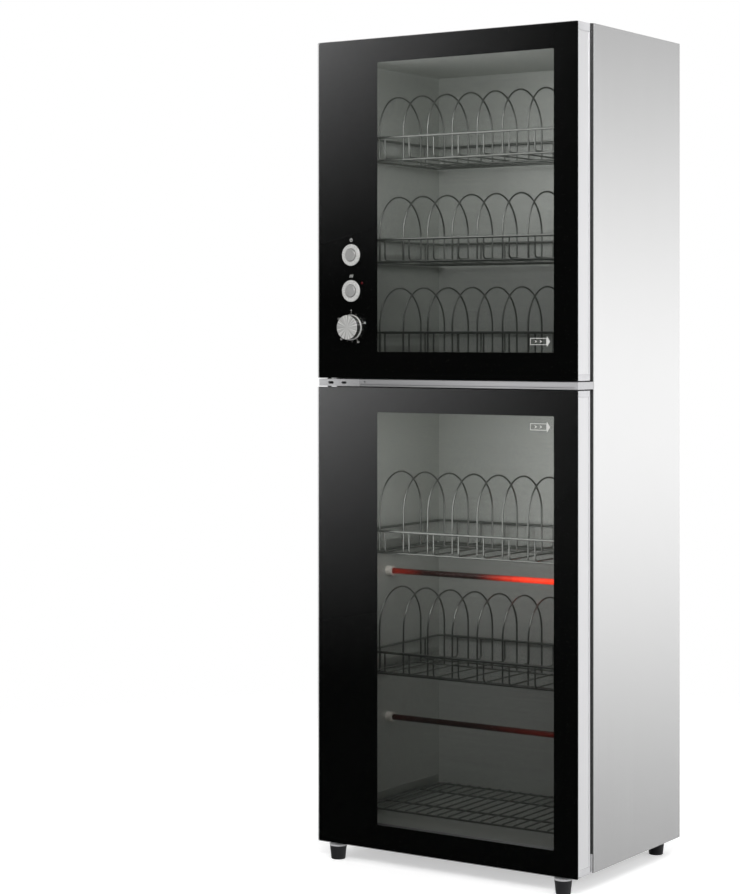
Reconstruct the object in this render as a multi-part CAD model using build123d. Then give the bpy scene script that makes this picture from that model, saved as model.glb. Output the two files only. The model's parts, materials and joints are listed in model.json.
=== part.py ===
from build123d import *
import os

os.makedirs("parts", exist_ok=True)

# Dish sterilizer cabinet: two glass doors on the left hinge line over two heated chambers with wire racks.
# Working frame, in millimetres: X to the right from the middle of the cabinet, Y to the back from the
# front face of the glass, Z up from the floor. Everything is shifted once, in save(), so that the origin
# lies on the floor at the middle of the bounding box.

# ---- driving dimensions -------------------------------------------------------------------------------
WIDTH = 590.0              # over the side panels, and the width of both doors
BODY_BACK = 437.0          # rear edge of the side panels
BODY_BOTTOM = 34.0         # underside of the cabinet above the floor
BODY_TOP = 1635.0
DOOR_LEVELS = {"lower": (33.0, 944.0), "upper": (961.0, 1633.0)}      # bottom and top of each glass
WINDOW_LEVELS = {"lower": (81.5, 895.0), "upper": (1014.0, 1585.0)}   # clear part of each glass
WINDOW_LEFT = -154.0
WINDOW_RIGHT = 243.0

GLASS = 4.0                # outer and inner glass
PRINT = 0.4                # printed border behind the outer glass, with its adhesive film
FILM = 0.05                # that film, left open between glass and print
DOOR_DEPTH = 51.5          # glass front to the back of the door
BODY_FRONT = 63.0          # face that the gaskets close on
SHEET = 1.2                # panels and liners
CLEAR = 0.2                # left between neighbouring sheets and mouldings
RIM = 14.0                 # width of the handle strip and of the hinge stile
CAP = 12.0                 # height of a door's end caps
CAP_STEP_X = -232.0        # the upper door's top cap rises to the glass edge to the right of this

CHAMBER_HALF = 258.0       # half the inner width of both chambers
CHAMBER_BACK = 398.8       # inner face of the liner's back wall
CHAMBER_LEVELS = {"lower": (70.0, 907.0), "upper": (998.0, 1596.0)}
RETURN = 18.0              # front and rear returns of the side panels
FLANGE = 15.0              # liner flange round each opening

HINGE_X = -283.0           # hinge line of both doors
HINGE_Y = 25.0
PIN_R = 4.0
FIT = 0.05                 # radial running clearance

GASKET_INSET = 19.0        # from the door's edges
GASKET_WIDTH = 14.0
GASKET_BACK = 62.7

CONTROL_X = -213.5         # both buttons and the timer knob stand on one line
BUTTON_LEVELS = {"top_button": 1206.0, "second_button": 1134.6}
KNOB_LEVEL = 1062.3
KNOB_FRONT = -16.0
BUTTON_FRONT = -5.5

FOOT_X = 256.0
FRONT_FOOT_Y = 17.0
REAR_FOOT_Y = 403.0
FOOT_HEIGHT = 27.0

RACK_HALF = 250.0          # wire centre lines of a rack
RACK_FRONT = 102.5
RACK_REAR = 389.5
RACK_LEVELS = {1: 1404.0, 2: 1198.0, 3: 1010.0, 4: 609.0, 5: 364.0}   # floor wires of the upright racks
BOTTOM_RACK_LEVEL = 92.0
BASKET_HEIGHT = 42.0
DIVIDER_PITCH = 58.0
DIVIDER_COUNT = 9
DIVIDER_WIDTH = 156.5      # between the centre lines of a divider's legs
DIVIDER_FRONT = 130.0
DIVIDER_HEIGHTS = {1: 135.0, 2: 135.0, 3: 135.0, 4: 158.0, 5: 165.0}

HEATER_Y = 200.0
HEATER_LEVELS = (560.0, 258.0)

GLAND_X = 220.0
GLAND_Z = 150.0
GLAND_BACK = 447.0

# ---- worked out from them -----------------------------------------------------------------------------
HALF = WIDTH / 2
MID_BOTTOM = DOOR_LEVELS["lower"][1] + 1.5     # rail and middle hinge bracket between the doors
MID_TOP = DOOR_LEVELS["upper"][0] - 1.5
CENTRE_Y = (KNOB_FRONT + GLAND_BACK) / 2
FRAME_FRONT = GLASS + PRINT                    # front of everything behind the printed glass
BRACKET = 3.0                                  # thickness of the hinge bracket plates
BRACKET_BOTTOM = BODY_BOTTOM + CLEAR
TOP_BRACKET = DOOR_LEVELS["upper"][1] - BRACKET


def save(name, shape):
    """Writes one sub-part in the final frame."""
    export_step(Pos(0, -CENTRE_Y, 0) * shape, f"parts/{name}.step")


def group(solids):
    """Separate solids that share one node."""
    return Compound(children=list(solids))


# ---- basic solids, given by their limits --------------------------------------------------------------
def block(x, y, z):
    """Box from its limits along each axis."""
    middle = Pos(sum(x) / 2, sum(y) / 2, sum(z) / 2)
    return middle * Box(x[1] - x[0], y[1] - y[0], z[1] - z[0])


def pane(x, y, z, radius):
    """Upright plate facing Y, with rounded corners."""
    outline = Pos(sum(x) / 2, sum(z) / 2) * RectangleRounded(x[1] - x[0], z[1] - z[0], radius)
    return extrude(Plane.XZ.offset(-y[1]) * outline, amount=y[1] - y[0])


def rod_x(x, y, z, radius):
    return Pos(sum(x) / 2, y, z) * Rot(0, 90, 0) * Cylinder(radius, x[1] - x[0])


def rod_y(x, y, z, radius):
    return Pos(x, sum(y) / 2, z) * Rot(90, 0, 0) * Cylinder(radius, y[1] - y[0])


def rod_z(x, y, z, radius):
    return Pos(x, y, sum(z) / 2) * Cylinder(radius, z[1] - z[0])


def wire(path, radius):
    """Round wire along a path."""
    return sweep(Plane(path ^ 0) * Circle(radius), path=path)


# ---- outer shell --------------------------------------------------------------------------------------
SCREW_R = 2.0
BRACKET_SCREW_X = -286.0
BRACKET_SCREW_LEVELS = (53.0, 64.0, 1604.0, 1614.0)
MIDDLE_SCREW_X = (-268.0, -226.0)
MIDDLE_SCREW_Z = (MID_BOTTOM + MID_TOP) / 2


def screw_holes(x_values, levels):
    """Clearance holes through the front face for the bracket screws."""
    span = (BODY_FRONT - 1, BODY_FRONT + 4)
    return [rod_y(x, span, z, SCREW_R + FIT) for x in x_values for z in levels]


BEND = 7.0                 # outer bend radius of the side sheets


def side_panel():
    """Left side sheet: rounded front and rear edges, folded returns."""
    depth = BODY_BACK - BODY_FRONT
    middle = (BODY_BACK + BODY_FRONT) / 2
    outer = Pos(-HALF + RETURN / 2, middle) * Rectangle(RETURN, depth)
    outer = fillet(outer.vertices().group_by(Axis.X)[0], BEND)
    inner = Pos(-HALF + SHEET + RETURN / 2, middle) * Rectangle(RETURN, depth - 2 * SHEET)
    inner = fillet(inner.vertices().group_by(Axis.X)[0], BEND - SHEET)
    section = Plane.XY.offset(BODY_BOTTOM) * (outer - inner)
    return extrude(section, amount=BODY_TOP - BODY_BOTTOM)


panel = side_panel()
save("left_side_panel", panel - screw_holes([BRACKET_SCREW_X], BRACKET_SCREW_LEVELS))
right_holes = screw_holes([-BRACKET_SCREW_X], BRACKET_SCREW_LEVELS[:2])
save("right_side_panel", mirror(panel, Plane.YZ) - right_holes)

INNER_HALF = HALF - SHEET - CLEAR      # between the side sheets
TRAY_Y = (BODY_FRONT + SHEET + CLEAR, BODY_BACK - SHEET - 1.6)
TRAY_HEIGHT = 14.0


def tray(z_low, z_high, wall, opens_up):
    """Shallow folded tray that closes the top or the bottom of the shell."""
    body = block((-INNER_HALF, INNER_HALF), TRAY_Y, (z_low, z_high))
    body = fillet(body.edges().filter_by(Axis.Z), BEND)
    floor_low = z_low + wall if opens_up else z_low - 1
    floor_high = z_high + 1 if opens_up else z_high - wall
    hollow_y = (TRAY_Y[0] + wall, TRAY_Y[1] - wall)
    return body - block((-INNER_HALF + wall, INNER_HALF - wall), hollow_y, (floor_low, floor_high))


save("top_cover", tray(BODY_TOP - 1 - TRAY_HEIGHT, BODY_TOP - 1, SHEET, False))

base = tray(BRACKET_BOTTOM, BRACKET_BOTTOM + TRAY_HEIGHT, 1.5, True)
save("base_plate", base)


def back_cover():
    """Rear sheet with two fields of vent slots and the cable hole."""
    y = (TRAY_Y[1] + CLEAR, TRAY_Y[1] + CLEAR + SHEET)
    half = INNER_HALF - BEND
    sheet = pane((-half, half), y, (BRACKET_BOTTOM, BODY_TOP - 1), 3)
    slot_length = 70.0
    slot_pitch = 14.0
    fields = ((-180.0, 110.0, 9), (180.0, 1480.0, 7), (-180.0, 1480.0, 7))
    slots = []
    for field_x, field_z, count in fields:
        for row in range(count):
            z = field_z + row * slot_pitch
            x = (field_x - slot_length / 2, field_x + slot_length / 2)
            slots.append(pane(x, (y[0] - 1, y[1] + 1), (z, z + 5), 2.4))
    cable_hole = rod_y(GLAND_X, (y[0] - 1, y[1] + 1), GLAND_Z, 8.1)
    return sheet - slots - cable_hole


save("back_cover", back_cover())


def front_frame():
    """Steel face between the side returns, open at both chambers."""
    y = (BODY_FRONT, BODY_FRONT + SHEET)
    half = HALF - RETURN - 0.3
    face = block((-half, half), y, (BODY_BOTTOM, BODY_TOP))
    for z in CHAMBER_LEVELS.values():
        face -= pane((-CHAMBER_HALF, CHAMBER_HALF), (y[0] - 1, y[1] + 1), z, 5)
    return face - screw_holes(MIDDLE_SCREW_X, [MIDDLE_SCREW_Z])


save("front_frame", front_frame())


def mid_rail():
    """Grooved rail between the doors, open at the back, with a closed right end."""
    x = (-195.0, HALF)
    front = 3.0
    back = BODY_FRONT - 0.1
    z = (MID_BOTTOM, MID_TOP)
    body = block(x, (front, back), z)
    hollow = block((x[0] - 1, x[1] - 3), (front + 4, back + 1), (z[0] + 1.5, z[1] - 1.5))
    groove = block((x[0] - 1, x[1] - 8), (front - 1, front + 2.2), (z[0] + 2.6, z[0] + 4.4))
    upper_edges = body.edges().filter_by(Axis.X).group_by(Axis.Y)[0]
    body = fillet(upper_edges, 1.0)
    screw_hole = rod_y(-183.0, (front - 1, front + 2.5), MIDDLE_SCREW_Z + 1.5, 2.6)
    return body - hollow - groove - screw_hole


save("mid_rail", mid_rail())


# ---- chambers -----------------------------------------------------------------------------------------
def liner(z):
    """Chamber box, open at the front, with a flange behind the front frame."""
    front = BODY_FRONT + SHEET
    x = (-CHAMBER_HALF, CHAMBER_HALF)
    outer_x = (x[0] - SHEET, x[1] + SHEET)
    outer_z = (z[0] - SHEET, z[1] + SHEET)
    shell = block(outer_x, (front, CHAMBER_BACK + SHEET), outer_z)
    shell += pane((x[0] - FLANGE, x[1] + FLANGE), (front, front + SHEET), (z[0] - FLANGE, z[1] + FLANGE), 12)
    hollow = block(x, (front - 1, CHAMBER_BACK), z)
    hollow = fillet(hollow.edges().filter_by(Axis.Y), 5)
    return shell - hollow


save("upper_liner", liner(CHAMBER_LEVELS["upper"]))
save("lower_liner", liner(CHAMBER_LEVELS["lower"]))

INSULATION_LEVELS = {"lower": (50.0, 952.0), "upper": (953.0, 1618.0)}
INSULATION_BACK = 419.0
THERMOSTAT = (-100.0, 500.0)           # X and Z on the lower liner's back


def insulation(chamber):
    """Wool block round one liner."""
    z = CHAMBER_LEVELS[chamber]
    front = BODY_FRONT + 5.5
    wool = block((-INNER_HALF + CLEAR, INNER_HALF - CLEAR), (front, INSULATION_BACK), INSULATION_LEVELS[chamber])
    gap = SHEET + CLEAR
    half = CHAMBER_HALF + gap
    core = block((-half, half), (front - 1, CHAMBER_BACK + gap), (z[0] - gap, z[1] + gap))
    return wool - core


thermostat_pocket = rod_y(THERMOSTAT[0], (CHAMBER_BACK, INSULATION_BACK + 1), THERMOSTAT[1], 18)
save("insulation", group([insulation("upper"), insulation("lower") - thermostat_pocket]))


def thermostat():
    """Bimetal disc switch with two tags."""
    seat = CHAMBER_BACK + SHEET
    x, z = THERMOSTAT
    body = rod_y(x, (seat, seat + 3), z, 14) + rod_y(x, (seat + 2, seat + 10), z, 10)
    for side in (-1, 1):
        body += block((x + side * 5 - 2.5, x + side * 5 + 2.5), (seat + 9, seat + 16), (z - 0.5, z + 0.5))
    return body


save("thermostat", thermostat())


def terminal_block():
    """Three-way screw terminal on the inside of the back cover."""
    y = (INSULATION_BACK + 2, TRAY_Y[1])
    x = (140.0, 200.0)
    z = (135.0, 165.0)
    body = block(x, y, z)
    for index in range(3):
        centre = x[0] + 12 + index * 18
        body -= rod_y(centre, (y[0] - 1, y[0] + 7), (z[0] + z[1]) / 2, 4)
        body -= rod_z(centre, y[0] + 7, (z[0] - 1, z[0] + 10), 2)
    return body


save("terminal_block", terminal_block())


def cable_gland():
    """Flanged bush in the back cover, with a ribbed nozzle."""
    sheet_back = TRAY_Y[1] + CLEAR + SHEET
    body = rod_y(GLAND_X, (sheet_back - 12, sheet_back), GLAND_Z, 8)
    body += rod_y(GLAND_X, (sheet_back, sheet_back + 4), GLAND_Z, 14)
    nozzle = Pos(GLAND_X, (sheet_back + 4 + GLAND_BACK) / 2, GLAND_Z) * Rot(-90, 0, 0)
    body += nozzle * Cone(10, 7.5, GLAND_BACK - sheet_back - 4)
    return body - rod_y(GLAND_X, (sheet_back - 13, GLAND_BACK + 1), GLAND_Z, 4)


save("cable_gland", cable_gland())


def ozone_generator():
    """Small grilled box high on the back wall of the upper chamber."""
    x = (100.0, 220.0)
    y = (368.0, CHAMBER_BACK)
    z = (1520.0, 1576.0)
    body = block(x, y, z)
    body = fillet(body.edges().filter_by(Axis.Y), 5)
    for row in range(6):
        low = z[0] + 9 + row * 7
        body -= block((x[0] + 12, x[1] - 12), (y[0] - 1, y[0] + 6), (low, low + 3))
    return body


save("ozone_generator", ozone_generator())

# ---- quartz heaters in the lower chamber --------------------------------------------------------------
HOLDER = 14.0
TUBE_R = 6.0


def heater_tube(z):
    half = CHAMBER_HALF - HOLDER / 2
    return rod_x((-half, half), HEATER_Y, z, TUBE_R) - rod_x((-half - 1, half + 1), HEATER_Y, z, TUBE_R - 1.5)


def heater_holder(z, side):
    """Ceramic cup on the liner wall that holds one end of a tube."""
    wall = side * CHAMBER_HALF
    mouth = side * (CHAMBER_HALF - HOLDER)
    seat = side * (CHAMBER_HALF - HOLDER / 2)
    body = rod_x(sorted((wall, mouth)), HEATER_Y, z, 10)
    return body - rod_x(sorted((seat, mouth - side)), HEATER_Y, z, TUBE_R + 0.1)


save("heater_tubes", group(heater_tube(z) for z in HEATER_LEVELS))
save("heater_holders", group(heater_holder(z, side) for z in HEATER_LEVELS for side in (-1, 1)))


# ---- hinges and feet ----------------------------------------------------------------------------------
BRACKET_FRONT = 5.0
BRACKET_BACK = BODY_FRONT - 0.1
FLANGE_X = (-293.0, -279.0)            # upright flange on the side panel's return


def bracket(z_low, x_right, flange_z):
    """Angle bracket: a plate under or over the door, and a flange on the cabinet's face."""
    left = FLANGE_X[0]
    corner = [(left, BRACKET_BACK), (left, 14.0), (-285.5, BRACKET_FRONT), (x_right, BRACKET_FRONT)]
    outline = make_face(Polyline(*corner, (x_right, BRACKET_BACK), close=True))
    plate = extrude(Plane.XY.offset(z_low) * outline, amount=BRACKET)
    flange = block(FLANGE_X, (BRACKET_BACK - 2, BRACKET_BACK), flange_z)
    return plate + flange


def front_holes(x, levels):
    span = (BRACKET_BACK - 3, BRACKET_BACK + 1)
    return [rod_y(x, span, z, SCREW_R + FIT) for z in levels]


pin_seat = rod_z(HINGE_X, HINGE_Y, (0, BODY_TOP), PIN_R + 0.02)
bottom_bracket = bracket(BRACKET_BOTTOM, -232.0, (BRACKET_BOTTOM, 70.0))
bottom_bracket -= front_holes(BRACKET_SCREW_X, BRACKET_SCREW_LEVELS[:2])
top_bracket = bracket(TOP_BRACKET, -245.0, (1598.0, DOOR_LEVELS["upper"][1]))
top_bracket -= front_holes(BRACKET_SCREW_X, BRACKET_SCREW_LEVELS[2:])
save("bottom_hinge_bracket", bottom_bracket - pin_seat)
save("right_foot_bracket", mirror(bottom_bracket, Plane.YZ))
save("top_hinge_bracket", top_bracket - pin_seat)


def middle_bracket():
    """Boxed hinge bracket between the doors, slotted at the front."""
    x = (-294.0, -196.0)
    z = (MID_BOTTOM, MID_TOP)
    front = 3.0
    body = block(x, (front, BRACKET_BACK), z)
    body = fillet(body.edges().filter_by(Axis.Z).group_by(Axis.Y)[0], 2)
    body -= block((x[0] + 2.5, x[1] + 1), (front + 2.5, BRACKET_BACK - 2), (z[0] + BRACKET, z[1] - BRACKET))
    mid = MIDDLE_SCREW_Z
    body -= pane((-272.0, -258.0), (front - 1, front + 4), (mid - 2.6, mid + 2.6), 2.5)
    body -= pane((-239.0, -227.0), (front - 1, front + 4), (mid - 2.2, mid + 2.2), 2.1)
    body -= [rod_y(x, (BRACKET_BACK - 3, BRACKET_BACK + 1), mid, SCREW_R + FIT) for x in MIDDLE_SCREW_X]
    return body - pin_seat


save("middle_hinge_bracket", middle_bracket())


def cap_levels(door):
    """Limits of a door's bottom and top end caps, clear of the brackets."""
    low, high = DOOR_LEVELS[door]
    bottom = low + 5.0 if door == "lower" else low + 1.0
    top = high - 4.0 if door == "upper" else high - 1.0
    return (bottom, bottom + CAP), (top - CAP, top)


PIN_REACH = CAP - 1.0
pins = [
    rod_z(HINGE_X, HINGE_Y, (BRACKET_BOTTOM, cap_levels("lower")[0][0] + PIN_REACH), PIN_R),
    rod_z(HINGE_X, HINGE_Y, (cap_levels("lower")[1][1] - PIN_REACH, cap_levels("upper")[0][0] + PIN_REACH), PIN_R),
    rod_z(HINGE_X, HINGE_Y, (cap_levels("upper")[1][1] - PIN_REACH, TOP_BRACKET + BRACKET), PIN_R),
]
save("hinge_pins", group(pins))


def screw(x, y_seat, z):
    """Pan-head screw whose head stands on y_seat and whose shank runs back through the face."""
    head = rod_y(x, (y_seat - 2.5, y_seat), z, 4)
    head = fillet(head.edges().group_by(Axis.Y)[0], 1.2)
    slot = block((x - 5, x + 5), (y_seat - 3, y_seat - 1.6), (z - 0.5, z + 0.5))
    return head + rod_y(x, (y_seat - 0.5, BODY_FRONT + 3), z, SCREW_R) - slot


screws = [screw(BRACKET_SCREW_X, BRACKET_BACK - 2, z) for z in BRACKET_SCREW_LEVELS]
screws += [screw(-BRACKET_SCREW_X, BRACKET_BACK - 2, z) for z in BRACKET_SCREW_LEVELS[:2]]
screws += [screw(x, BRACKET_BACK - 2, MIDDLE_SCREW_Z) for x in MIDDLE_SCREW_X]
save("bracket_screws", group(screws))

FEET = [(side * FOOT_X, y) for side in (-1, 1) for y in (FRONT_FOOT_Y, REAR_FOOT_Y)]


def rubber_foot(x, y):
    """Tapered foot with a rounded tread."""
    body = Pos(x, y, FOOT_HEIGHT / 2) * Cone(14.0, 17.0, FOOT_HEIGHT)
    return fillet(body.edges().group_by(Axis.Z)[0], 1.5)


def foot_collar(x, y):
    """Steel washer and levelling stud on top of a foot."""
    collar_top = FOOT_HEIGHT + 3.0
    return rod_z(x, y, (FOOT_HEIGHT, collar_top), 17.5) + rod_z(x, y, (collar_top - 1, BRACKET_BOTTOM), 4)


save("rubber_feet", group(rubber_foot(x, y) for x, y in FEET))
save("foot_collars", group(foot_collar(x, y) for x, y in FEET))


# ---- doors --------------------------------------------------------------------------------------------
def control_holes(button_radius, knob_radius, y):
    """Holes in the glass and its print for the controls."""
    holes = [rod_y(CONTROL_X, y, z, button_radius) for z in BUTTON_LEVELS.values()]
    return holes + [rod_y(CONTROL_X, y, KNOB_LEVEL, knob_radius)]


def outer_glass(door):
    pane_solid = pane((-HALF, HALF), (0, GLASS), DOOR_LEVELS[door], 3)
    pane_solid = chamfer(pane_solid.faces().sort_by(Axis.Y)[0].edges(), 0.6)
    if door == "upper":
        pane_solid -= control_holes(14.8, 5, (-1, GLASS + 1))
    return pane_solid


def glass_border(door):
    """Printed frame on the back of the glass."""
    low, high = DOOR_LEVELS[door]
    y = (GLASS + FILM, GLASS + PRINT)
    border = pane((-HALF + 0.5, HALF - 0.5), y, (low + 0.5, high - 0.5), 2.5)
    border -= pane((WINDOW_LEFT, WINDOW_RIGHT), (GLASS - 1, GLASS + 1), WINDOW_LEVELS[door], 2)
    if door == "upper":
        border -= control_holes(14.8, 5, (GLASS - 1, GLASS + 1))
    return border


def stile(z):
    """Channel along the hinge side, open towards the middle of the door."""
    wall = 2.5
    body = block((-HALF, -HALF + RIM), (FRAME_FRONT, DOOR_DEPTH), z)
    body = fillet(body.edges().filter_by(Axis.Z).group_by(Axis.X)[0].sort_by(Axis.Y)[-1], 2)
    hollow = block((-HALF + 3.5, -HALF + RIM + 1), (FRAME_FRONT + wall, DOOR_DEPTH - wall), z)
    return body - hollow


def handle_strip(z):
    """Aluminium strip on the pull side: the same channel with a shallow recess along its outer face."""
    recess = block((HALF - 1.0, HALF + 1), (FRAME_FRONT + 4, DOOR_DEPTH - 5), (z[0] - 1, z[1] + 1))
    return mirror(stile(z), Plane.YZ) - recess


def end_cap(z, opens_up):
    """Moulded cap across the door's end, with a solid block at the hinge."""
    y = (FRAME_FRONT, DOOR_DEPTH)
    wall = 2.5
    body = block((-HALF, HALF), y, z)
    body = fillet(body.edges().filter_by(Axis.Z).group_by(Axis.Y)[-1], 2)
    pocket_z = (z[0] + wall, z[1] + 1) if opens_up else (z[0] - 1, z[1] - wall)
    body -= block((-266.0, HALF - 3), (y[0] + wall, y[1] - wall), pocket_z)
    return body - rod_z(HINGE_X, HINGE_Y, (z[0] - 1, z[1] + 1), 6.55)


def raised_cap(z):
    """Top cap of the upper door: beside the hinge bracket it fills the height up to the glass edge."""
    lid = block((CAP_STEP_X, HALF), (FRAME_FRONT, DOOR_DEPTH), (z[1] - 1, DOOR_LEVELS["upper"][1] - CLEAR))
    lid = fillet(lid.edges().filter_by(Axis.Z).group_by(Axis.Y)[-1], 2)
    return end_cap(z, False) + lid


def bush(z):
    """Plastic sleeve that turns on a hinge pin."""
    return rod_z(HINGE_X, HINGE_Y, z, 6.5) - rod_z(HINGE_X, HINGE_Y, (z[0] - 1, z[1] + 1), PIN_R + FIT)


INNER_LEFT = -190.0
INNER_RIGHT = 250.0
INNER_BELOW = 12.0         # inner opening below and above the clear window
INNER_ABOVE = 8.0
GLASS_LAP = 10.0           # inner glass beyond the inner opening
SEAL = 0.1                 # bead between the inner glass and the panel


def inner_opening(door, y, grow):
    """Plate through the door's inner opening, grown on every side."""
    low, high = WINDOW_LEVELS[door]
    z = (low - INNER_BELOW - grow, high + INNER_ABOVE + grow)
    return pane((INNER_LEFT - grow, INNER_RIGHT + grow), y, z, 6)


def inner_panel(door, z):
    """Steel pan that closes the back of the door round the inner glass."""
    depth = 9.0
    half = HALF - RIM - CLEAR
    pan = block((-half, half), (DOOR_DEPTH - depth, DOOR_DEPTH), z)
    hollow_z = (z[0] + SHEET, z[1] - SHEET)
    pan -= block((-half + SHEET, half - SHEET), (DOOR_DEPTH - depth - 1, DOOR_DEPTH - SHEET), hollow_z)
    return pan - inner_opening(door, (DOOR_DEPTH - 2, DOOR_DEPTH + 1), 0)


def inner_glass(door):
    back = DOOR_DEPTH - SHEET - SEAL
    return inner_opening(door, (back - GLASS, back), GLASS_LAP)


def gasket(door):
    """Rubber seal between the door and the cabinet's face."""
    low, high = DOOR_LEVELS[door]
    y = (DOOR_DEPTH, GASKET_BACK)
    half = HALF - GASKET_INSET
    ring = pane((-half, half), y, (low + GASKET_INSET, high - GASKET_INSET), 10)
    inset = GASKET_INSET + GASKET_WIDTH
    half -= GASKET_WIDTH
    hole = pane((-half, half), (y[0] - 1, y[1] + 1), (low + inset, high - inset), 4)
    ring -= hole
    edges = ring.faces().sort_by(Axis.Y)[-1].edges()
    return fillet(edges, 2.5)


for door in ("upper", "lower"):
    bottom_cap, top_cap = cap_levels(door)
    between_caps = (bottom_cap[1] + 0.1, top_cap[0] - 0.1)
    save(f"{door}_outer_glass", outer_glass(door))
    save(f"{door}_glass_border", glass_border(door))
    save(f"{door}_hinge_stile", stile(between_caps))
    save(f"{door}_handle_strip", handle_strip(between_caps))
    top_piece = raised_cap(top_cap) if door == "upper" else end_cap(top_cap, False)
    save(f"{door}_end_caps", group([end_cap(bottom_cap, True), top_piece]))
    save(f"{door}_door_bushes", group([bush(bottom_cap), bush(top_cap)]))
    save(f"{door}_inner_panel", inner_panel(door, between_caps))
    save(f"{door}_inner_glass", inner_glass(door))
    save(f"{door}_gasket", gasket(door))


# ---- controls on the upper door -----------------------------------------------------------------------
RING_FRONT = -2.4
RING_R = 21.4
CAP_R = 12.0
STEM_R = 10.0
SWITCH_FRONT = FRAME_FRONT + 0.1


def button_ring(z):
    """Chrome ring: a bevelled flange on the glass and a sleeve through it."""
    flange = rod_y(CONTROL_X, (RING_FRONT, 0), z, RING_R)
    flange = chamfer(flange.edges().group_by(Axis.Y)[0], 1.2)
    sleeve = rod_y(CONTROL_X, (-1, 6.2), z, 14.5)
    ring = flange + sleeve - rod_y(CONTROL_X, (RING_FRONT - 1, 7), z, 13)
    return ring


def timer_ring():
    flange = rod_y(CONTROL_X, (-2.6, 0), KNOB_LEVEL, 25.5)
    flange = fillet(flange.edges().group_by(Axis.Y)[0], 1.0)
    return flange - rod_y(CONTROL_X, (-4, 1), KNOB_LEVEL, 20)


def switch_body(z):
    """Push switch behind the glass, bored for the button's stem."""
    body = rod_y(CONTROL_X, (SWITCH_FRONT, 36), z, 19)
    body -= rod_y(CONTROL_X, (SWITCH_FRONT - 1, 7), z, 14.7)
    return body - rod_y(CONTROL_X, (6, 22), z, STEM_R + FIT)


def push_button(z):
    """Domed cap on a stem."""
    cap = rod_y(CONTROL_X, (BUTTON_FRONT, 1.5), z, CAP_R)
    cap = fillet(cap.edges().group_by(Axis.Y)[0], 1.8)
    return cap + rod_y(CONTROL_X, (1, 15), z, STEM_R)


SHAFT_R = 3.0


def timer_body():
    """Clockwork timer behind the glass."""
    x = (CONTROL_X - 24, CONTROL_X + 24)
    z = (KNOB_LEVEL - 24, KNOB_LEVEL + 24)
    body = block(x, (SWITCH_FRONT, 38), z)
    body = fillet(body.edges().filter_by(Axis.Y), 4)
    return body - rod_y(CONTROL_X, (SWITCH_FRONT - 1, 20), KNOB_LEVEL, SHAFT_R + FIT)


def timer_knob():
    """Flat-faced knob with its shaft and a pointer notch in the rim."""
    back = -3.2
    knob = rod_y(CONTROL_X, (KNOB_FRONT, back), KNOB_LEVEL, 24.2)
    knob = fillet(knob.edges().group_by(Axis.Y)[0], 1.5)
    notch = block((CONTROL_X - 0.9, CONTROL_X + 0.9), (KNOB_FRONT - 1, KNOB_FRONT + 0.9),
                  (KNOB_LEVEL + 15, KNOB_LEVEL + 26))
    return knob - notch + rod_y(CONTROL_X, (back - 1, 18), KNOB_LEVEL, SHAFT_R)


save("control_rings", group([button_ring(z) for z in BUTTON_LEVELS.values()] + [timer_ring()]))
save("switch_bodies", group(switch_body(z) for z in BUTTON_LEVELS.values()))
for name, level in BUTTON_LEVELS.items():
    save(name, push_button(level))
save("timer_body", timer_body())
save("timer_knob", timer_knob())

# ---- wire racks ---------------------------------------------------------------------------------------
FLOOR_R = 1.6              # floor wires and posts
FRAME_R = 2.0              # bottom loop
CROSS_R = 1.8              # cross wires
RIM_R = 2.5                # top loop
DIVIDER_R = 1.75
DROP = 3.0                 # cross wires lie this far under the floor wires
BOTTOM_LOOP_Y = (116.0, 376.0)


def loop(y, z, radius):
    """Closed rectangular wire."""
    outline = Pos(0, sum(y) / 2) * RectangleRounded(2 * RACK_HALF, y[1] - y[0], 12)
    path = (Plane.XY.offset(z) * outline).wire()
    return wire(path, radius)


def divider_x(index):
    return (index - (DIVIDER_COUNT - 1) / 2) * DIVIDER_PITCH


def floor_wire(x, z, rise):
    """Basket wire: down from the rim, back along the floor and up again."""
    y = (RACK_FRONT + 3.5, RACK_REAR - 3.5)
    points = [(x, y[0], z + rise), (x, y[0], z), (x, y[1], z), (x, y[1], z + rise)]
    return wire(FilletPolyline(*points, radius=8), FLOOR_R)


def cross_wires(z, y_values):
    return [rod_x((-RACK_HALF, RACK_HALF), y, z - DROP, CROSS_R) for y in y_values]


def basket():
    """Upright rack's welded basket, with its floor wires at Z 0."""
    pieces = [loop((RACK_FRONT, RACK_REAR), BASKET_HEIGHT, RIM_R), loop(BOTTOM_LOOP_Y, -DROP, FRAME_R)]
    pieces += cross_wires(0, (DIVIDER_FRONT, DIVIDER_FRONT + DIVIDER_WIDTH, 335.0))
    pieces += [floor_wire(divider_x(i) + DIVIDER_PITCH / 2, 0, BASKET_HEIGHT) for i in range(DIVIDER_COUNT - 1)]
    for side in (-1, 1):
        for y in (160.0, 246.0, 332.0):
            pieces.append(rod_z(side * RACK_HALF, y, (-DROP, BASKET_HEIGHT), FLOOR_R))
    return pieces[0].fuse(*pieces[1:])


def divider(x, height):
    """Upright arch between two places in a rack, standing on two cross wires."""
    radius = DIVIDER_WIDTH / 2
    foot = CROSS_R - DROP
    shoulder = height - DIVIDER_R - radius
    front = DIVIDER_FRONT
    back = DIVIDER_FRONT + DIVIDER_WIDTH
    arch = ThreePointArc((x, front, shoulder), (x, front + radius, shoulder + radius), (x, back, shoulder))
    legs = [Line((x, front, foot), (x, front, shoulder)), Line((x, back, shoulder), (x, back, foot))]
    return wire(Wire([legs[0], arch, legs[1]]), DIVIDER_R)


plate_basket = basket()
for number, level in RACK_LEVELS.items():
    save(f"rack_{number}_basket", Pos(0, 0, level) * plate_basket)
    arches = [divider(divider_x(i), DIVIDER_HEIGHTS[number]) for i in range(DIVIDER_COUNT)]
    save(f"rack_{number}_dividers", Pos(0, 0, level) * group(arches))


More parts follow.
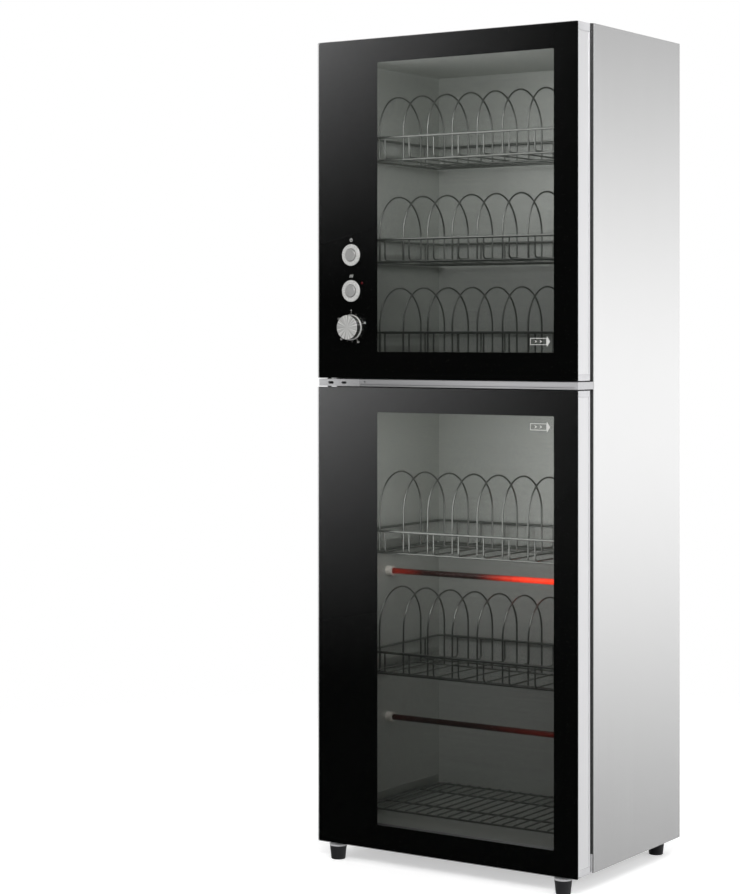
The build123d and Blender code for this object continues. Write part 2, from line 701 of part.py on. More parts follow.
def flat_rack():
    """Flat shelf of close wires."""
    pieces = [loop((RACK_FRONT, RACK_REAR), -DROP, FRAME_R)]
    pieces += cross_wires(0, (180.0, 310.0))
    pitch = 2 * RACK_HALF / 20
    for index in range(1, 20):
        pieces.append(rod_y(-RACK_HALF + index * pitch, (RACK_FRONT, RACK_REAR), 0, FLOOR_R))
    return pieces[0].fuse(*pieces[1:])


save("bottom_rack", Pos(0, 0, BOTTOM_RACK_LEVEL) * flat_rack())


def runner(level, side):
    """Angle on the liner wall that carries one side of a rack."""
    ledge = 14.0
    top = level - DROP - FRAME_R - 0.3
    y = (90.0, 395.0)
    wall = side * CHAMBER_HALF
    inner = side * (CHAMBER_HALF - ledge)
    shelf = block(sorted((wall, inner)), y, (top - 1.5, top))
    upright = block(sorted((wall, wall - side * 1.5)), y, (top - 1.5, top + 20))
    return shelf + upright


rack_levels = list(RACK_LEVELS.values()) + [BOTTOM_RACK_LEVEL]
save("rack_runners", group(runner(level, side) for level in rack_levels for side in (-1, 1)))
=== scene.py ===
import json
import math
import bmesh
import bpy
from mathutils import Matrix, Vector


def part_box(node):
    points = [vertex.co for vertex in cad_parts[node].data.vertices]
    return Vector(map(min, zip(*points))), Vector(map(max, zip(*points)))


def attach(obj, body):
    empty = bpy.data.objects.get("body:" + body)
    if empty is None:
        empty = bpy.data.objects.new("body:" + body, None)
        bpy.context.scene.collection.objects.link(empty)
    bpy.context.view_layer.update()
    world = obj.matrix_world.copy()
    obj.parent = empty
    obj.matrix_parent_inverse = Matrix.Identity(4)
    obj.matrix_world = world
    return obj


# Dish sterilizer cabinet: finishes, printed marks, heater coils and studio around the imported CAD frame.
# Metres, in the frame's own axes: X to the right, Y to the back, Z up.
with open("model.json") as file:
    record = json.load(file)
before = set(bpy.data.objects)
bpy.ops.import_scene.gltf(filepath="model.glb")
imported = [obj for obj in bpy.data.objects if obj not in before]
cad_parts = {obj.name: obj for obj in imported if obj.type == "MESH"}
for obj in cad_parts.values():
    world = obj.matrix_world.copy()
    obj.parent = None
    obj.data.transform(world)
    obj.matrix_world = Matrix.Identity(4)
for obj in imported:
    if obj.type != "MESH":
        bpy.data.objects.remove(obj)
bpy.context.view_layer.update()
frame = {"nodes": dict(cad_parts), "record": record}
NODES = frame["nodes"]

DOORS = ("upper", "lower")
MM = 0.001


# ---- small node-tree helper ---------------------------------------------------------------------------
class Finish:
    """A Principled material and the texture nodes that feed it."""

    def __init__(self, name, color=(0.8, 0.8, 0.8), roughness=0.5, metallic=0.0):
        self.material = bpy.data.materials.new(name)
        self.material.use_nodes = True
        self.tree = self.material.node_tree
        self.shader = self.tree.nodes["Principled BSDF"]
        self.output = self.tree.nodes["Material Output"]
        self.set("Base Color", (*color, 1.0))
        self.set("Roughness", roughness)
        self.set("Metallic", metallic)

    def set(self, socket, value):
        self.shader.inputs[socket].default_value = value

    def node(self, kind, **properties):
        made = self.tree.nodes.new(kind)
        for key, value in properties.items():
            setattr(made, key, value)
        return made

    def link(self, source, target):
        self.tree.links.new(source, target)

    def feed(self, source, socket):
        self.link(source, self.shader.inputs[socket])

    def place(self, stretch=(1, 1, 1)):
        """Object coordinates, scaled along each axis."""
        coordinates = self.node("ShaderNodeTexCoord")
        mapping = self.node("ShaderNodeMapping")
        mapping.inputs["Scale"].default_value = stretch
        self.link(coordinates.outputs["Object"], mapping.inputs["Vector"])
        return mapping.outputs["Vector"]

    def axis(self, letter):
        """One object coordinate, in metres."""
        split = self.node("ShaderNodeSeparateXYZ")
        self.link(self.place(), split.inputs["Vector"])
        return split.outputs[letter]

    def noise(self, scale, stretch=(1, 1, 1), detail=3.0, rough=0.55):
        made = self.node("ShaderNodeTexNoise")
        made.inputs["Scale"].default_value = scale
        made.inputs["Detail"].default_value = detail
        made.inputs["Roughness"].default_value = rough
        self.link(self.place(stretch), made.inputs["Vector"])
        return made.outputs["Fac"]

    def cells(self, scale):
        made = self.node("ShaderNodeTexVoronoi", feature="F1")
        made.inputs["Scale"].default_value = scale
        self.link(self.place(), made.inputs["Vector"])
        return made

    def spread(self, source, low, high, to_low, to_high, smooth=False):
        """Maps one range of numbers to another."""
        made = self.node("ShaderNodeMapRange")
        if smooth:
            made.interpolation_type = "SMOOTHSTEP"
        for socket, value in zip(("From Min", "From Max", "To Min", "To Max"), (low, high, to_low, to_high)):
            made.inputs[socket].default_value = value
        self.link(source, made.inputs["Value"])
        return made.outputs["Result"]

    def math(self, operation, first, second):
        made = self.node("ShaderNodeMath", operation=operation)
        for socket, value in zip(made.inputs, (first, second)):
            if isinstance(value, (int, float)):
                socket.default_value = value
            else:
                self.link(value, socket)
        return made.outputs["Value"]

    def blend(self, factor, first, second):
        """Colour between two others."""
        made = self.node("ShaderNodeMix", data_type="RGBA")
        self.link(factor, made.inputs["Factor"])
        colours = [socket for socket in made.inputs if socket.type == "RGBA"]
        for socket, value in zip(colours, (first, second)):
            if isinstance(value, tuple):
                socket.default_value = (*value, 1.0)
            else:
                self.link(value, socket)
        return next(socket for socket in made.outputs if socket.type == "RGBA")

    def bump(self, height, strength, depth):
        made = self.node("ShaderNodeBump")
        made.inputs["Strength"].default_value = strength
        made.inputs["Distance"].default_value = depth
        self.link(height, made.inputs["Height"])
        self.feed(made.outputs["Normal"], "Normal")


# ---- finishes -----------------------------------------------------------------------------------------
def brushed(name, dark, light, roughness, stretch, strength=0.12, metallic=1.0, painted_shade=None):
    """Brushed metal: fine lines along the axis with the small stretch, and broad faint clouding.

    The last argument paints light and shade into the colour along an axis: an axis letter, two places on it and the
    share of the tone at each.
    """
    made = Finish(name, light, metallic=metallic)
    lines = made.noise(1.0, stretch, detail=4.0)
    clouds = made.noise(5.0)
    mixed = made.math("ADD", made.math("MULTIPLY", lines, 0.7), made.math("MULTIPLY", clouds, 0.3))
    tint = made.blend(made.spread(mixed, 0.3, 0.7, 0, 1), dark, light)
    # painted shade: the colour is scaled along one axis to stand in for shade, and for light where the share is
    # above one
    if painted_shade:
        letter, start, end, first, last = painted_shade
        share = made.spread(made.axis(letter), start, end, first, last, smooth=True)
        tint = made.blend(share, (0.0, 0.0, 0.0), tint)
    made.feed(tint, "Base Color")
    made.feed(made.spread(lines, 0.2, 0.8, roughness[0], roughness[1]), "Roughness")
    made.bump(lines, strength, 0.02 * MM)
    return made.material


def zinc_sheet(name, color):
    """Galvanised sheet: crystal spangle in tone and gloss."""
    made = Finish(name, color, metallic=0.85)
    spangle = made.cells(130.0)
    tone = made.node("ShaderNodeSeparateColor")
    made.link(spangle.outputs["Color"], tone.inputs["Color"])
    flake = tone.outputs["Red"]
    darker = tuple(0.78 * c for c in color)
    made.feed(made.blend(flake, darker, color), "Base Color")
    made.feed(made.spread(flake, 0, 1, 0.38, 0.58), "Roughness")
    made.bump(made.noise(60.0), 0.08, 0.1 * MM)
    return made.material


def moulded(name, color, roughness, grain=900.0, strength=0.15, sheen=0.0):
    """Moulded plastic or rubber with a fine eroded grain."""
    made = Finish(name, color, roughness)
    speck = made.noise(grain, detail=2.0)
    clouds = made.noise(14.0)
    paler = tuple(min(1.0, c * 1.25 + 0.004) for c in color)
    made.feed(made.blend(made.spread(clouds, 0.3, 0.7, 0, 1), color, paler), "Base Color")
    made.feed(made.spread(speck, 0.3, 0.7, roughness - 0.06, roughness + 0.08), "Roughness")
    made.bump(speck, strength, 0.05 * MM)
    made.set("Sheen Weight", sheen)
    return made.material


def black_print_with_painted_reflection(door):
    """Gloss black print behind the glass with a painted reflection: its colour fades from a soft grey at the door's
    top left corner, in place of a light reflected in the glass.
    """
    made = Finish(f"{door}_black_print", roughness=0.12)
    low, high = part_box(f"{door}_glass_border")
    tone, right_share, depth = {"upper": (0.265, 0.20, 0.55), "lower": (0.298, 0.33, 0.63)}[door]
    across = made.spread(made.axis("X"), low.x, high.x, 1, right_share)
    down = made.spread(made.axis("Z"), high.z - depth, high.z, 0, 1)
    # painted reflection: the grey fade towards the door's top left corner
    painted_reflection = made.math("POWER", made.math("MULTIPLY", across, down), 2.2)
    speck = made.spread(made.noise(500.0), 0.35, 0.65, 0.96, 1.04)
    tint = made.blend(made.math("MULTIPLY", painted_reflection, speck), (0.0005, 0.0005, 0.0006), (tone, tone, tone * 1.01))
    made.feed(tint, "Base Color")
    made.feed(made.spread(made.noise(700.0), 0.3, 0.7, 0.10, 0.16), "Roughness")
    return made.material


def sheet_glass(name, color, alpha, roughness):
    """Float glass: a clear body with its own tint, faint waves and a little dust."""
    made = Finish(name, color, roughness)
    dust = made.noise(160.0, detail=5.0)
    made.feed(made.spread(dust, 0.45, 0.75, alpha, alpha + 0.02), "Alpha")
    made.feed(made.spread(dust, 0.3, 0.7, roughness, roughness + 0.02), "Roughness")
    made.bump(made.noise(3.0), 0.02, 0.2 * MM)
    made.material.surface_render_method = "BLENDED"
    return made.material


def chrome(name, color, roughness, metallic=1.0):
    """Plated metal with slight ripple and uneven gloss."""
    made = Finish(name, color, roughness, metallic)
    ripple = made.noise(90.0, detail=2.0)
    dimmer = tuple(0.88 * c for c in color)
    made.feed(made.blend(made.spread(ripple, 0.3, 0.7, 0, 1), dimmer, color), "Base Color")
    made.feed(made.spread(made.noise(400.0), 0.3, 0.7, roughness, roughness + 0.08), "Roughness")
    made.bump(ripple, 0.06, 0.1 * MM)
    return made.material


def knob_with_painted_reflection(name, color, roughness, centre, face, rays=7.0):
    """Turned knob: radial rays round a centre in the XZ plane paint reflections into the face colour as dark and
    bright sectors, and also vary its roughness and bump; a bright plated side.
    """
    made = Finish(name, color, roughness)
    side = made.spread(made.axis("Y"), face + 1.2 * MM, face + 1.8 * MM, 0.25, 1.0)
    made.feed(side, "Metallic")
    x = made.math("SUBTRACT", made.axis("X"), centre[0])
    z = made.math("SUBTRACT", made.axis("Z"), centre[1])
    angle = made.math("ARCTAN2", z, x)
    around = made.node("ShaderNodeCombineXYZ")
    made.link(angle, around.inputs["X"])
    lines = made.node("ShaderNodeTexNoise")
    lines.inputs["Scale"].default_value = rays
    lines.inputs["Detail"].default_value = 4.0
    made.link(around.outputs["Vector"], lines.inputs["Vector"])
    # painted reflection: the rays swing the face colour between a dim and a bright tone like streaks of light on
    # spun metal
    dimmer = tuple(0.38 * c for c in color)
    made.feed(made.blend(made.spread(lines.outputs["Fac"], 0.40, 0.60, 0, 1), dimmer, color), "Base Color")
    made.feed(made.spread(lines.outputs["Fac"], 0.3, 0.7, roughness - 0.05, roughness + 0.08), "Roughness")
    made.bump(lines.outputs["Fac"], 0.15, 0.05 * MM)
    return made.material


def wool(name):
    made = Finish(name, (0.80, 0.76, 0.62), 0.95)
    fibres = made.noise(220.0, (1, 1, 4), detail=6.0, rough=0.7)
    tone = made.spread(fibres, 0.3, 0.7, 0, 1)
    made.feed(made.blend(tone, (0.62, 0.56, 0.40), (0.86, 0.83, 0.72)), "Base Color")
    made.bump(fibres, 0.8, 2 * MM)
    made.set("Sheen Weight", 0.4)
    return made.material


def ceramic(name):
    made = Finish(name, (0.80, 0.77, 0.71), 0.55)
    pits = made.noise(450.0, detail=5.0)
    tone = made.spread(pits, 0.35, 0.65, 0, 1)
    made.feed(made.blend(tone, (0.68, 0.64, 0.57), (0.84, 0.81, 0.76)), "Base Color")
    made.feed(made.spread(pits, 0.3, 0.7, 0.45, 0.65), "Roughness")
    made.bump(pits, 0.2, 0.1 * MM)
    return made.material


HEATER_RED = (1.0, 0.045, 0.012)
GLOW_START = -0.05         # the glow builds up to the right of this X


def glowing(name, strength, color=HEATER_RED, alpha=1.0):
    """Hot quartz or coil: bright towards the right end, dim at the left end."""
    made = Finish(name, (0.05, 0.02, 0.018), 0.25)
    grain = made.spread(made.noise(700.0), 0.3, 0.7, 0, 1)
    made.feed(made.blend(grain, (0.035, 0.014, 0.012), (0.06, 0.024, 0.02)), "Base Color")
    low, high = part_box("heater_tubes")
    x = made.axis("X")
    right = made.spread(x, GLOW_START, GLOW_START + 0.16, 0.0, 1, smooth=True)
    left = made.spread(x, low.x + 0.02, low.x + 0.09, 0.10, 0, smooth=True)
    level = made.spread(made.axis("Z"), 0.30, 0.50, 0.025, 1)
    glow = made.math("MULTIPLY", made.math("ADD", right, left), level)
    ripple = made.spread(made.noise(1.0, (260.0, 6.0, 6.0), detail=1.0), 0.3, 0.7, 0.8, 1.2)
    made.feed(made.math("MULTIPLY", made.math("MULTIPLY", glow, ripple), strength), "Emission Strength")
    made.set("Emission Color", (*color, 1.0))
    made.set("Alpha", alpha)
    return made.material


def printed_white(name, color=(0.62, 0.62, 0.60)):
    """Screen-printed ink on glass, with a slightly uneven edge tone."""
    made = Finish(name, color, 0.5)
    specks = made.noise(1400.0)
    dimmer = tuple(0.8 * c for c in color)
    made.feed(made.blend(made.spread(specks, 0.35, 0.65, 0, 1), dimmer, color), "Base Color")
    return made.material


SIDE_LINES = (260.0, 260.0, 3.0)       # brushed along Z
CROSS_LINES = (3.0, 260.0, 260.0)      # brushed along X
DEPTH_LINES = (260.0, 3.0, 260.0)      # brushed along Y

PANEL_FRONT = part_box("right_side_panel")[0].y
# painted light and shade along an axis: the side panels' bends are painted dark where the gap behind the doors lies
# in shade, the rail and the middle bracket are painted lighter at one end and darker at the other
PANEL_PAINTED_SHADE = ("Y", PANEL_FRONT + 1.2 * MM, PANEL_FRONT + 3.6 * MM, 0.16, 1.0)
RAIL_LOW, RAIL_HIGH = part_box("mid_rail")
RAIL_PAINTED_LIGHT_AND_SHADE = ("X", RAIL_LOW.x, RAIL_HIGH.x, 0.60, 1.15)
HINGE_LOW, HINGE_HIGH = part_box("middle_hinge_bracket")
HINGE_PAINTED_SHADE = ("X", HINGE_LOW.x, HINGE_HIGH.x, 1.0, 0.62)

KNOB_LOW, KNOB_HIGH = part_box("timer_knob")
KNOB_CENTRE = (0.5 * (KNOB_LOW.x + KNOB_HIGH.x), 0.5 * (KNOB_LOW.z + KNOB_HIGH.z))

MATERIALS = {
    "brushed_steel_panel": brushed("satin_steel", (0.84, 0.84, 0.84), (0.87, 0.87, 0.87), (0.17, 0.21), SIDE_LINES,
                                   0.03, 0.85, PANEL_PAINTED_SHADE),
    "galvanised_steel": zinc_sheet("zinc_sheet", (0.62, 0.63, 0.64)),
    "liner_steel": brushed("liner_steel", (0.46, 0.48, 0.45), (0.54, 0.56, 0.53), (0.40, 0.52), CROSS_LINES,
                           0.06, 0.45),
    "rail_silver": brushed("rail_silver", (0.52, 0.52, 0.53), (0.60, 0.60, 0.61), (0.30, 0.40), CROSS_LINES,
                           0.06, 0.3, RAIL_PAINTED_LIGHT_AND_SHADE),
    "strip_aluminium": brushed("strip_aluminium", (0.83, 0.83, 0.84), (0.87, 0.87, 0.88), (0.34, 0.42), SIDE_LINES,
                               0.03, 0.55),
    "cap_plastic": moulded("cap_plastic", (0.50, 0.50, 0.51), 0.45),
    "smoked_glass": sheet_glass("smoked_glass", (0.004, 0.0044, 0.004), 0.22, 0.02),
    "clear_glass": sheet_glass("clear_glass", (0.05, 0.06, 0.055), 0.06, 0.03),
    "gasket_rubber": moulded("gasket_rubber", (0.035, 0.035, 0.038), 0.62, sheen=0.1),
    "foot_rubber": moulded("foot_rubber", (0.018, 0.018, 0.020), 0.5, grain=600.0, strength=0.3),
    "hinge_steel": brushed("hinge_steel", (0.60, 0.60, 0.61), (0.72, 0.72, 0.73), (0.28, 0.40), CROSS_LINES,
                           0.08, 0.35),
    "rack_chrome": chrome("rack_chrome", (0.24, 0.25, 0.235), 0.30, 0.9),
    "runner_steel": brushed("runner_steel", (0.48, 0.49, 0.47), (0.58, 0.59, 0.57), (0.36, 0.46), DEPTH_LINES),
    "white_wool": wool("glass_wool"),
    "black_plastic": moulded("black_plastic", (0.014, 0.014, 0.015), 0.38),
    "bush_plastic": moulded("bush_plastic", (0.62, 0.61, 0.57), 0.4),
    "heater_ceramic": ceramic("heater_ceramic"),
    "quartz_glow": glowing("quartz_glow", 1.5, alpha=0.55),
    "control_chrome": chrome("control_chrome", (0.74, 0.74, 0.72), 0.24, 0.3),
}


CREASE = math.radians(32)


def dress(node, material):
    """Gives a CAD node its finish, with smooth shading on its round faces and true flats."""
    mesh = NODES[node].data
    mesh.materials.clear()
    mesh.materials.append(material)
    mesh.polygons.foreach_set("material_index", [0] * len(mesh.polygons))
    imported = mesh.attributes.get("custom_normal")
    if imported:
        mesh.attributes.remove(imported)
    mesh.shade_smooth()
    mesh.set_sharp_from_angle(angle=CREASE)
    weighted = NODES[node].modifiers.new("flat_faces", "WEIGHTED_NORMAL")
    weighted.keep_sharp = True


for part in frame["record"]["subparts"]:
    if part["material_slot"] != "black_print":
        dress(part["node"], MATERIALS[part["material_slot"]])
for door in DOORS:
    dress(f"{door}_glass_border", black_print_with_painted_reflection(door))
# the middle bracket's steel carries painted shade, darker towards its right end
middle_hinge_steel = brushed("middle_hinge_steel", (0.64, 0.64, 0.65), (0.76, 0.76, 0.77), (0.28, 0.40), CROSS_LINES,
                             0.08, 0.35, HINGE_PAINTED_SHADE)
dress("middle_hinge_bracket", middle_hinge_steel)
for button in ("top_button", "second_button"):
    dress(button, chrome(f"{button}_cap", (0.58, 0.58, 0.57), 0.28, 0.5))
dress("timer_knob", knob_with_painted_reflection("knob_painted_reflection", (0.74, 0.74, 0.72), 0.30, KNOB_CENTRE, KNOB_LOW.y))


# ---- pieces built here --------------------------------------------------------------------------------
def add_piece(name, mesh, body, material):
    """Links a mesh as a piece that rides on a body, with its material."""
    piece = bpy.data.objects.new(name, mesh)
    bpy.context.scene.collection.objects.link(piece)
    mesh.materials.append(material)
    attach(piece, body)


def mesh_from(build, name):
    """Mesh filled by a function that adds to a bmesh."""
    work = bmesh.new()
    build(work)
    bmesh.ops.recalc_face_normals(work, faces=work.faces)
    mesh = bpy.data.meshes.new(name)
    work.to_mesh(mesh)
    work.free()
    return mesh


INK = 0.12 * MM
GLASS_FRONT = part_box("upper_outer_glass")[0].y
INK_FRONT = GLASS_FRONT - INK


def ink_shape(work, outline, hole=None):
    """Thin raised print from an outline of X, Z points; with a hole of as many points it is a ring."""
    def corners(points, y):
        return [work.verts.new((x, y, z)) for x, z in points]

    count = len(outline)
    loops = [corners(outline, INK_FRONT), corners(outline, GLASS_FRONT)]
    if hole is None:
        work.faces.new(loops[0])
        work.faces.new(loops[1])
        for i in range(count):
            j = (i + 1) % count
            work.faces.new((loops[0][i], loops[0][j], loops[1][j], loops[1][i]))
        return
    loops += [corners(hole, GLASS_FRONT), corners(hole, INK_FRONT)]
    for k in range(4):
        here, after = loops[k], loops[(k + 1) % 4]
        for i in range(count):
            j = (i + 1) % count
            work.faces.new((here[i], here[j], after[j], after[i]))


def rectangle(x, z):
    return [(x[0], z[0]), (x[1], z[0]), (x[1], z[1]), (x[0], z[1])]


def circle(x, z, radius, steps=28):
    return [(x + radius * math.cos(2 * math.pi * i / steps), z + radius * math.sin(2 * math.pi * i / steps))
            for i in range(steps)]


ARROW_LEFT = 0.1945
ARROW_RIGHT = 0.2375
ARROW_LEVELS = {"upper": 1.0353, "lower": 0.8748}


def pull_arrow(work, z):
    """Outlined box with a filled arrow head: pull on this side."""
    neck = ARROW_RIGHT - 7 * MM
    half = 6.5 * MM
    line = 1.1 * MM
    outer = rectangle((ARROW_LEFT, neck), (z - half, z + half))
    inner = rectangle((ARROW_LEFT + line, neck - line), (z - half + line, z + half - line))
    ink_shape(work, outer, inner)
    ink_shape(work, [(neck, z - 1.6 * half), (ARROW_RIGHT, z), (neck, z + 1.6 * half)])
    for step in range(2):
        tip = ARROW_LEFT + (15 + 11 * step) * MM
        chevron = [(tip - 6 * MM, z - 3.4 * MM), (tip, z), (tip - 6 * MM, z + 3.4 * MM), (tip - 3.4 * MM, z)]
        ink_shape(work, chevron)


INK_MATERIAL = printed_white("white_ink")
for door in DOORS:
    arrow = mesh_from(lambda work, d=door: pull_arrow(work, ARROW_LEVELS[d]), f"{door}_pull_arrow")
    add_piece(f"{door}_pull_arrow", arrow, f"{door}_door", INK_MATERIAL)

BUTTON_X = KNOB_CENTRE[0]
BUTTON_LEVELS = [0.5 * (low.z + high.z) for low, high in (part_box("top_button"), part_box("second_button"))]
ICON_RISE = 29.5 * MM


def button_icons(work):
    """A ring with a bar over the first button, and three rising strokes over the second."""
    first = BUTTON_LEVELS[0] + ICON_RISE
    ink_shape(work, circle(BUTTON_X, first, 3.2 * MM), circle(BUTTON_X, first, 2.3 * MM))
    ink_shape(work, rectangle((BUTTON_X - 0.5 * MM, BUTTON_X + 0.5 * MM), (first, first + 4.2 * MM)))
    second = BUTTON_LEVELS[1] + ICON_RISE
    for index in (-1, 0, 1):
        x = BUTTON_X + index * 3 * MM
        lean = 1.0 * MM
        ink_shape(work, [(x - lean, second - 3 * MM), (x - lean + 1 * MM, second - 3 * MM),
                         (x + lean + 1 * MM, second + 3 * MM), (x + lean, second + 3 * MM)])


add_piece("button_icons", mesh_from(button_icons, "button_icons"), "upper_door", INK_MATERIAL)

DIAL_TICKS = 13
DIAL_SWEEP = 300.0
TICK_INNER = 27.5 * MM


def dial_ticks(work):
    """Ticks round the timer knob, longer at each quarter of the sweep."""
    for index in range(DIAL_TICKS):
        angle = math.radians(90 - DIAL_SWEEP * index / (DIAL_TICKS - 1))
        along = Vector((math.cos(angle), math.sin(angle)))
        across = Vector((-along.y, along.x)) * 0.3 * MM
        reach = TICK_INNER + (2.6 if index % 3 == 0 else 1.4) * MM
        centre = Vector(KNOB_CENTRE)
        points = [centre + along * TICK_INNER - across, centre + along * reach - across,
                  centre + along * reach + across, centre + along * TICK_INNER + across]
        ink_shape(work, [tuple(p) for p in points])


add_piece("dial_ticks", mesh_from(dial_ticks, "dial_ticks"), "upper_door", INK_MATERIAL)


def dial_number(text, degrees):
    """Plain minute number outside the ticks."""
    radius = TICK_INNER + 6.2 * MM
    angle = math.radians(90 - degrees)
    curve = bpy.data.curves.new(f"minutes_{text}", "FONT")
    curve.body = text
    curve.size = 5.2 * MM
    curve.align_x = "CENTER"
    curve.align_y = "CENTER"
    curve.extrude = INK / 2
    label = bpy.data.objects.new(f"minutes_{text}", curve)
    bpy.context.scene.collection.objects.link(label)
    label.location = (KNOB_CENTRE[0] + radius * math.cos(angle), GLASS_FRONT - INK / 2,
                      KNOB_CENTRE[1] + radius * math.sin(angle))
    label.rotation_euler = (math.pi / 2, 0, 0)
    curve.materials.append(INK_MATERIAL)
    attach(label, "upper_door")


for index, minutes in enumerate(("0", "30", "60", "90", "120")):
    dial_number(minutes, index * DIAL_SWEEP / 4)

LAMP_PLACE = (-0.1876, 1.1501)


def indicator(work):
    ink_shape(work, circle(*LAMP_PLACE, 2.6 * MM))


red_lens = Finish("red_lens", (0.06, 0.004, 0.006), 0.2)
red_lens.feed(red_lens.blend(red_lens.noise(900.0), (0.04, 0.003, 0.004), (0.09, 0.006, 0.008)), "Base Color")
add_piece("indicator_lens", mesh_from(indicator, "indicator_lens"), "upper_door", red_lens.material)


# ---- heater coils -------------------------------------------------------------------------------------
COIL_R = 2.6 * MM
COIL_WIRE = 0.45 * MM
COIL_PITCH = 3.2 * MM
COIL_STEPS = 12


def heater_coil(name, z, material):
    """Resistance wire wound along the inside of a quartz tube."""
    low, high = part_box("heater_tubes")
    start, end = low.x + 12 * MM, high.x - 12 * MM
    y = 0.5 * (low.y + high.y)
    turns = int((end - start) / COIL_PITCH)
    curve = bpy.data.curves.new(name, "CURVE")
    curve.dimensions = "3D"
    curve.bevel_depth = COIL_WIRE
    curve.bevel_resolution = 1
    line = curve.splines.new("POLY")
    count = turns * COIL_STEPS + 1
    line.points.add(count - 1)
    for index, point in enumerate(line.points):
        angle = 2 * math.pi * index / COIL_STEPS
        x = start + (end - start) * index / (count - 1)
        point.co = (x, y + COIL_R * math.cos(angle), z + COIL_R * math.sin(angle), 1)
    coil = bpy.data.objects.new(name, curve)
    bpy.context.scene.collection.objects.link(coil)
    curve.materials.append(material)
    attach(coil, "cabinet")


TUBE_LOW, TUBE_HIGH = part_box("heater_tubes")
TUBE_R = 6 * MM
coil_material = glowing("coil_glow", 9.0)
heater_coil("upper_heater_coil", TUBE_HIGH.z - TUBE_R, coil_material)
heater_coil("lower_heater_coil", TUBE_LOW.z + TUBE_R, coil_material)


# ---- studio -------------------------------------------------------------------------------------------
FLOOR_REACH = 14.0
FLOOR_FADE = (0.7, 2.2)
FLOOR_LIFT = 0.42          # light added to the floor for the camera alone
SOFT_LEVEL = 0.75          # of the world on matt surfaces
GLOSS_FLOOR = 0.006        # of the world in gloss, towards the camera's side
BEHIND = (-0.55, 0.35, 0.0, 1.0)       # along Y, from the dark side to the bright side
BAND_CENTRE = 0.034        # how far the bright band lies under the horizon
BAND = (0.0, 0.23, 1.08, 0.27)         # from the middle of the band to its edge


def studio_floor():
    """Pale floor that fades into the white backdrop away from the cabinet."""
    def build(work):
        bmesh.ops.create_grid(work, x_segments=8, y_segments=8, size=FLOOR_REACH)

    mesh = mesh_from(build, "floor")
    floor = bpy.data.objects.new("floor", mesh)
    bpy.context.scene.collection.objects.link(floor)
    made = Finish("studio_floor", (0.9, 0.9, 0.9), 0.9)
    made.set("Specular IOR Level", 0.1)
    made.feed(made.blend(made.noise(3.0), (0.86, 0.86, 0.86), (0.9, 0.9, 0.9)), "Base Color")
    made.set("Emission Color", (1, 1, 1, 1))
    length = made.node("ShaderNodeVectorMath", operation="LENGTH")
    made.link(made.place(), length.inputs[0])
    away = made.spread(length.outputs["Value"], *FLOOR_FADE, 0, 1, smooth=True)
    paths = made.node("ShaderNodeLightPath")
    made.feed(made.math("MULTIPLY", paths.outputs["Is Camera Ray"], FLOOR_LIFT), "Emission Strength")
    hidden = made.math("MAXIMUM", away, paths.outputs["Is Glossy Ray"])
    clear = made.node("ShaderNodeBsdfTransparent")
    mix = made.node("ShaderNodeMixShader")
    made.link(hidden, mix.inputs["Fac"])
    made.link(made.shader.outputs["BSDF"], mix.inputs[1])
    made.link(clear.outputs["BSDF"], mix.inputs[2])
    made.link(mix.outputs["Shader"], made.output.inputs["Surface"])
    mesh.materials.append(made.material)


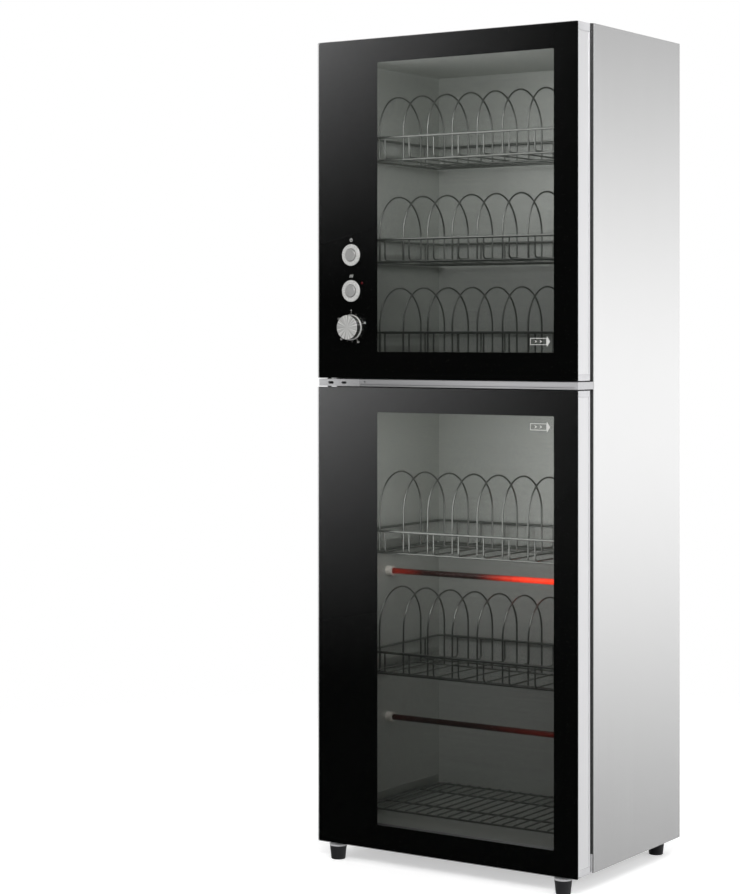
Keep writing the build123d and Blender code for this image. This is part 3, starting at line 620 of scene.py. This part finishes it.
def studio_world():
    """White to the camera, a soft grey to the surfaces, and for gloss a bright band behind the cabinet."""
    world = bpy.data.worlds.new("studio")
    bpy.context.scene.world = world
    world.use_nodes = True
    tree = world.node_tree
    tree.nodes.clear()

    def node(kind, **properties):
        made = tree.nodes.new(kind)
        for key, value in properties.items():
            setattr(made, key, value)
        return made

    def remap(source, values):
        made = node("ShaderNodeMapRange", interpolation_type="SMOOTHSTEP")
        for socket, value in zip(("From Min", "From Max", "To Min", "To Max"), values):
            made.inputs[socket].default_value = value
        tree.links.new(source, made.inputs["Value"])
        return made.outputs["Result"]

    def times(first, second):
        made = node("ShaderNodeMath", operation="MULTIPLY")
        tree.links.new(first, made.inputs[0])
        tree.links.new(second, made.inputs[1])
        return made.outputs["Value"]

    where = node("ShaderNodeTexCoord")
    split = node("ShaderNodeSeparateXYZ")
    tree.links.new(where.outputs["Generated"], split.inputs["Vector"])
    level = node("ShaderNodeMath", operation="ADD")
    tree.links.new(split.outputs["Z"], level.inputs[0])
    level.inputs[1].default_value = BAND_CENTRE
    height = node("ShaderNodeMath", operation="ABSOLUTE")
    tree.links.new(level.outputs["Value"], height.inputs[0])
    behind = remap(split.outputs["Y"], BEHIND)
    band = remap(height.outputs["Value"], BAND)
    gloss = times(behind, band)
    gloss_colour = node("ShaderNodeMath", operation="ADD")
    tree.links.new(gloss, gloss_colour.inputs[0])
    gloss_colour.inputs[1].default_value = GLOSS_FLOOR

    paths = node("ShaderNodeLightPath")
    soft = node("ShaderNodeMix", data_type="FLOAT")
    soft.inputs["A"].default_value = SOFT_LEVEL
    tree.links.new(paths.outputs["Is Glossy Ray"], soft.inputs["Factor"])
    tree.links.new(gloss_colour.outputs["Value"], soft.inputs["B"])
    seen = node("ShaderNodeMix", data_type="FLOAT")
    seen.inputs["B"].default_value = 1.0
    tree.links.new(paths.outputs["Is Camera Ray"], seen.inputs["Factor"])
    tree.links.new(soft.outputs["Result"], seen.inputs["A"])
    background = node("ShaderNodeBackground")
    tree.links.new(seen.outputs["Result"], background.inputs["Color"])
    output = node("ShaderNodeOutputWorld")
    tree.links.new(background.outputs["Background"], output.inputs["Surface"])


def softbox(name, place, target, size, power):
    """Rectangular area lamp aimed at a point."""
    data = bpy.data.lights.new(name, "AREA")
    data.shape = "RECTANGLE"
    data.size, data.size_y = size
    data.energy = power
    lamp = bpy.data.objects.new(name, data)
    bpy.context.scene.collection.objects.link(lamp)
    lamp.location = place
    lamp.rotation_euler = (Vector(target) - Vector(place)).to_track_quat("-Z", "Y").to_euler()
    return lamp


studio_floor()
studio_world()
softbox("front_light", (1.6, -3.2, 3.0), (0.0, 0.0, 0.9), (1.6, 1.2), 70)
side_light = softbox("side_light", (3.6, 0.6, 1.6), (0.3, 0.0, 0.9), (1.2, 1.8), 40)
side_light.visible_glossy = False
CHAMBER_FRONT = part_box("front_frame")[0].y
FILL_SIZE = (0.42, 0.34)
FILL_DROP = 0.02           # from the top of the inner glass to the lamp's upper edge
for chamber, power in (("upper", 1.0), ("lower", 1.05)):
    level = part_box(f"{chamber}_inner_glass")[1].z - FILL_DROP - FILL_SIZE[1] / 2
    fill = softbox(f"{chamber}_fill", (0.0, CHAMBER_FRONT, level), (0.0, 1.0, level), FILL_SIZE, power)
    fill.visible_camera = False

# ---- camera -------------------------------------------------------------------------------------------
CAMERA_PLACE = (2.2904, -3.8896, 1.0528)
CAMERA_TURN = 0.5898
IMAGE_HEIGHT = 894.0
FOCAL_PIXELS = 2239.6
HORIZON_ROW = 332.19
SENSOR = 36.0

camera_data = bpy.data.cameras.new("camera")
camera_data.sensor_fit = "VERTICAL"
camera_data.sensor_height = SENSOR
camera_data.lens = FOCAL_PIXELS / IMAGE_HEIGHT * SENSOR
camera_data.shift_y = (HORIZON_ROW - IMAGE_HEIGHT / 2) / IMAGE_HEIGHT
camera = bpy.data.objects.new("camera", camera_data)
bpy.context.scene.collection.objects.link(camera)
camera.location = CAMERA_PLACE
camera.rotation_euler = (math.pi / 2, 0, CAMERA_TURN)
bpy.context.scene.camera = camera
bpy.context.scene.view_settings.view_transform = "Standard"
